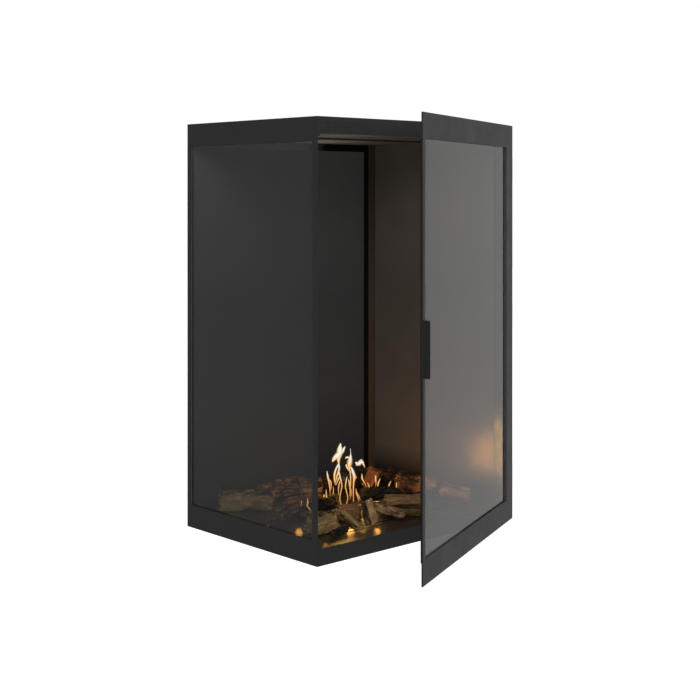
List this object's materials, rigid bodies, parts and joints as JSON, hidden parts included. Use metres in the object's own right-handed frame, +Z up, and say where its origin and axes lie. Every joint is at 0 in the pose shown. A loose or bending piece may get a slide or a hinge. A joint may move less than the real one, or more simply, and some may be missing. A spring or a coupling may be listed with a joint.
{
  "type": "corner bioethanol fireplace",
  "caption": "Tall black corner fireplace with a glass left side, an open hinged glass door, ceramic logs on a hearth deck and a slot burner under a sliding lid.",
  "frame": {"origin": "centre of the underside of the casing's rectangle, on the floor", "axes": "+X to the right along the front, +Y from the front to the back, +Z up"},
  "size_m": [0.66, 0.7714, 1],
  "materials": {
    "casing_paint": "satin black powder coat",
    "door_paint": "satin black powder coat",
    "handle_paint": "matt black powder coat",
    "chamber_paint": "matt black heat-proof coat",
    "liner_steel": "satin brown-grey heat-proof coat",
    "hearth_enamel": "glossy black enamel",
    "folded_steel": "galvanised",
    "burner_steel": "brushed stainless",
    "ceramic_wool": "loose white fibre",
    "insulation_board": "pressed mineral board",
    "glass_pane": "clear float glass",
    "glass_seal": "woven glass-fibre tape",
    "magnet_housing": "moulded black",
    "screw_steel": "blackened",
    "split_log": "cast ceramic with painted split grain",
    "bark_log": "cast ceramic with painted bark"
  },
  "bodies": {
    "casing": {"base_pan": "casing_paint", "top_rim": "casing_paint", "top_plate": "casing_paint", "back_casing": "casing_paint", "right_casing": "casing_paint", "hinge_post": "casing_paint", "corner_blocks": "casing_paint", "side_frame": "casing_paint", "casing_knuckles": "casing_paint", "ceiling_plate": "chamber_paint", "ceiling_deflector": "chamber_paint", "back_surround": "chamber_paint", "back_panel": "chamber_paint", "right_liner": "liner_steel", "back_corner_trim": "liner_steel", "hearth_deck": "hearth_enamel", "deck_bearers": "folded_steel", "spill_tray": "folded_steel", "burner_rest_bars": "folded_steel", "side_glass_clips": "folded_steel", "burner_box": "burner_steel", "burner_top": "burner_steel", "lid_guides": "burner_steel", "burner_wool": "ceramic_wool", "side_insulation": "insulation_board", "back_spacers": "insulation_board", "side_glass": "glass_pane", "side_gasket": "glass_seal", "catch_magnets": "magnet_housing", "rim_screws": "screw_steel", "hinge_pins": "screw_steel", "log_left_split": "split_log", "log_front_left": "split_log", "log_front_split": "split_log", "log_front_wedge": "split_log", "log_behind_split": "split_log", "log_centre_split": "split_log", "log_rear_upright": "split_log", "log_right_bark": "split_log", "log_rear_left_bark": "bark_log", "log_left_bark": "bark_log", "log_rear_grey": "bark_log", "branch_pair": "bark_log", "kindling": "bark_log", "log_centre_low": "bark_log", "log_centre_round": "bark_log", "log_rear_dark": "bark_log", "log_rear_right": "bark_log", "log_rear_knot": "bark_log", "log_right_front": "bark_log", "charred_logs": "bark_log"},
    "door": {"door_frame": "door_paint", "door_gasket": "glass_seal", "door_glass": "glass_pane", "door_glass_clips": "folded_steel", "door_handle": "handle_paint", "handle_screws": "screw_steel", "door_knuckles": "door_paint"},
    "burner_lid": {"burner_lid": "burner_steel", "lid_tab": "burner_steel"}
  },
  "joints": [
    {"name": "door_hinge", "type": "hinge", "parent": "casing", "child": "door", "pos_m": [0.3285, -0.2458, 0.5], "axis": [0, 0, 1], "range_deg": [-23.8, 86.2]},
    {"name": "lid_slide", "type": "slide", "parent": "casing", "child": "burner_lid", "axis": [0, -1, 0], "range_m": [0, 0.041]}
  ]
}
